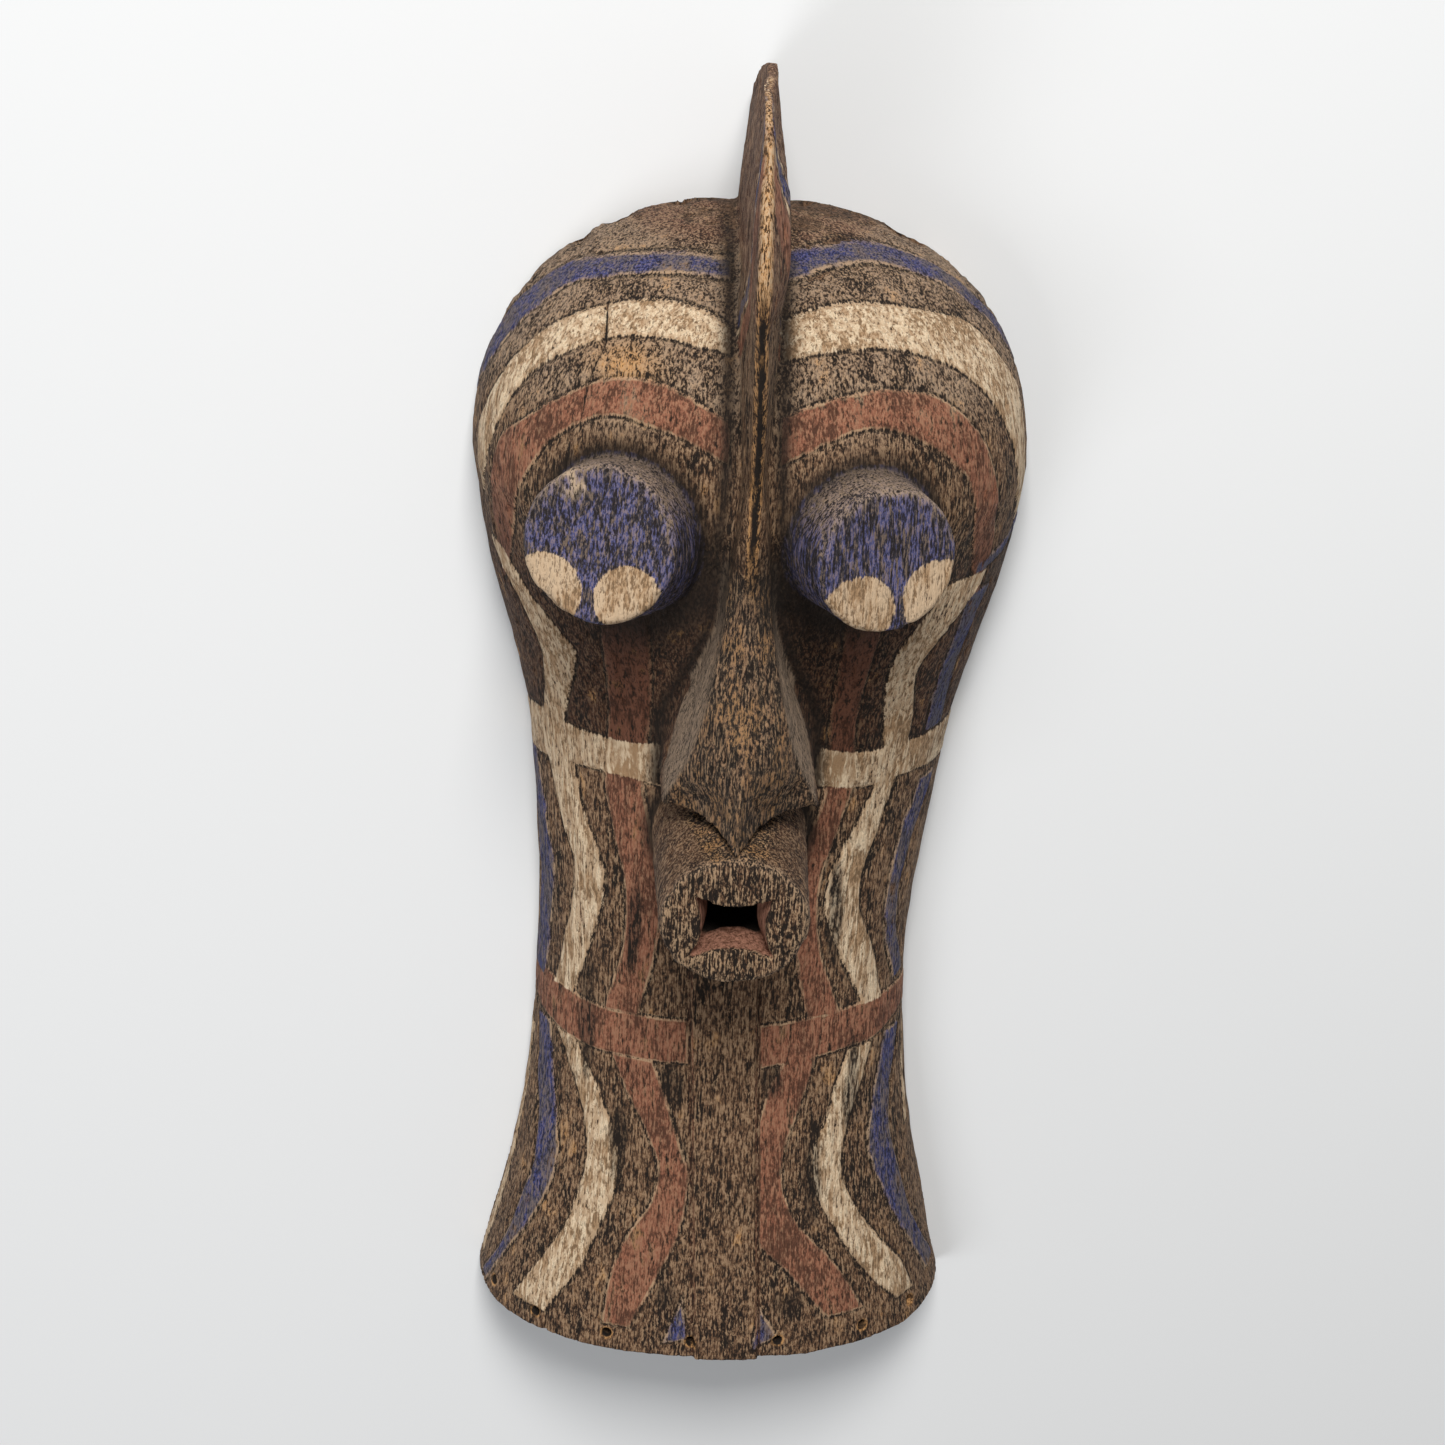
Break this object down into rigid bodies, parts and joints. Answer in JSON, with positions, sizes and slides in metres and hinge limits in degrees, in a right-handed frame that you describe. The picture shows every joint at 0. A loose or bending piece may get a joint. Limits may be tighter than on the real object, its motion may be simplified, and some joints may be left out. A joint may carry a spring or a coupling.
{
  "type": "carved wooden face mask",
  "caption": "Tall hollow carved wooden face mask with a crest fin, drum eyes, a pierced spout mouth, a long flared neck and painted stripes; worn over the face or shown as a carving.",
  "frame": {"origin": "middle of the mask's box on the plane of its back rim, which it lies on", "axes": "+Y from the chin rim to the crest, +Z out of the face, +X to the viewer's right as the viewer faces the mask"},
  "size_m": [0.37, 0.945, 0.2461],
  "materials": {
    "carved_wood": "matte, weathered, with worn blue, cream and red-brown paint"
  },
  "bodies": {
    "root": {"mask": "carved_wood"}
  },
  "joints": []
}
